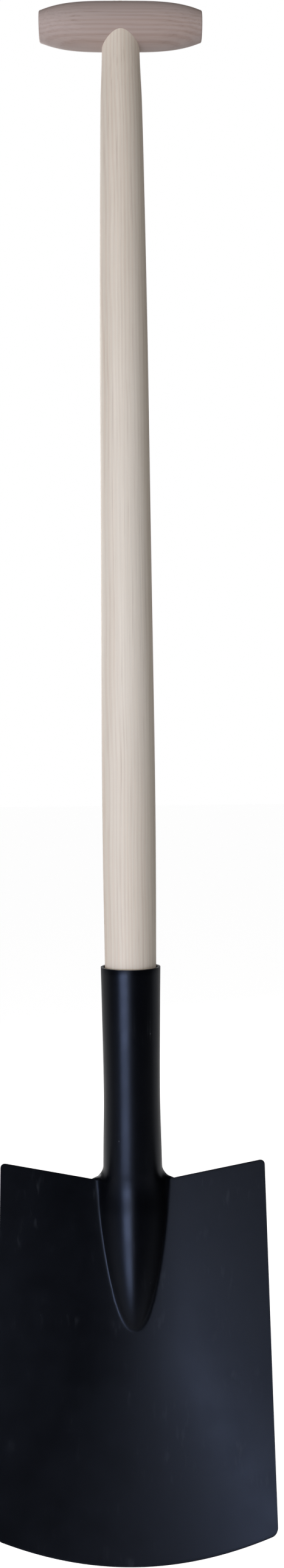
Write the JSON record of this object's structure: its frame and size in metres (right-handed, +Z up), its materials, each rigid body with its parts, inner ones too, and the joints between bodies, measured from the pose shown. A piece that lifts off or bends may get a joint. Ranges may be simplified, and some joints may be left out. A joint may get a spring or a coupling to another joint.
{
  "type": "garden spade",
  "caption": "Garden spade with a canted, dished steel blade, a rolled socket with a pressed frog, a tapered ash shaft and a wooden T-grip.",
  "frame": {"origin": "on the shaft's axis, level with the underside of the grip, where the spade hangs on a rack", "axes": "+Z up the shaft towards the grip, -Y out of the dished front of the blade, +X along the grip to the right seen from the front"},
  "size_m": [0.1988, 0.096, 1.1426],
  "materials": {
    "coated_steel": "satin black powder coat with a blue tint",
    "shaft_ash": "sanded pale ash, straight grain",
    "grip_ash": "sanded ash, pinkish grey-brown",
    "wedge_wood": "bare hardwood",
    "nail_steel": "bare steel"
  },
  "bodies": {
    "root": {"blade": "coated_steel", "closing_plate": "coated_steel", "shaft": "shaft_ash", "t_grip": "grip_ash", "tenon_wedge": "wedge_wood", "grip_pin": "wedge_wood", "socket_nail_upper": "nail_steel", "socket_nail_lower": "nail_steel"}
  },
  "joints": []
}
